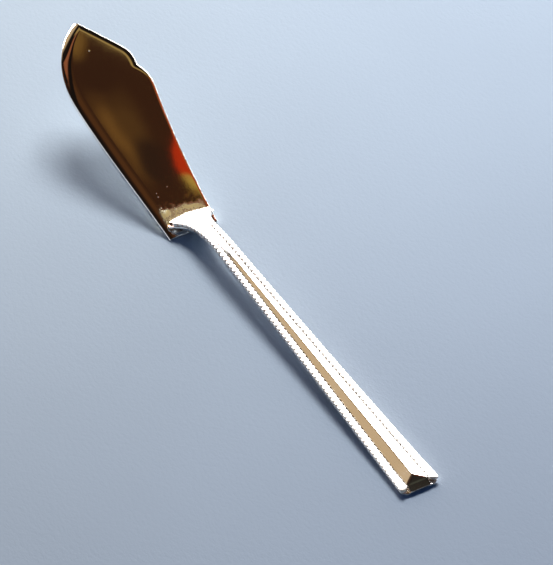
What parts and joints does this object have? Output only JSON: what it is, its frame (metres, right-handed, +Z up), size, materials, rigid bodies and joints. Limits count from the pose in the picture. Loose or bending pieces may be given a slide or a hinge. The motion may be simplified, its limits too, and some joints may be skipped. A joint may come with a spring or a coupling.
{
  "type": "butter knife",
  "caption": "Flat butter knife with a cranked neck, a clipped mirror-polished blade and a slim tapering handle with a low central ridge and beaded borders.",
  "frame": {"origin": "below the middle of the knife, on the surface that it lies on", "axes": "+X along the knife towards the blade's tip, +Y to the belly side of the blade, +Z up, on the patterned side"},
  "size_m": [0.168, 0.0216, 0.0231],
  "materials": {
    "blade_mirror": "mirror polish with fine hairlines, a few tiny pits and a little polish residue beside the collar",
    "silver": "bright polished silver with light handling scratches",
    "bead_silver": "bright polished beads with darker tarnish between them",
    "braze": "dull grey silver solder"
  },
  "bodies": {
    "root": {"blade": "blade_mirror", "handle": "silver", "bead_border_left": "bead_silver", "bead_border_right": "bead_silver", "braze_fillet": "braze"}
  },
  "joints": []
}
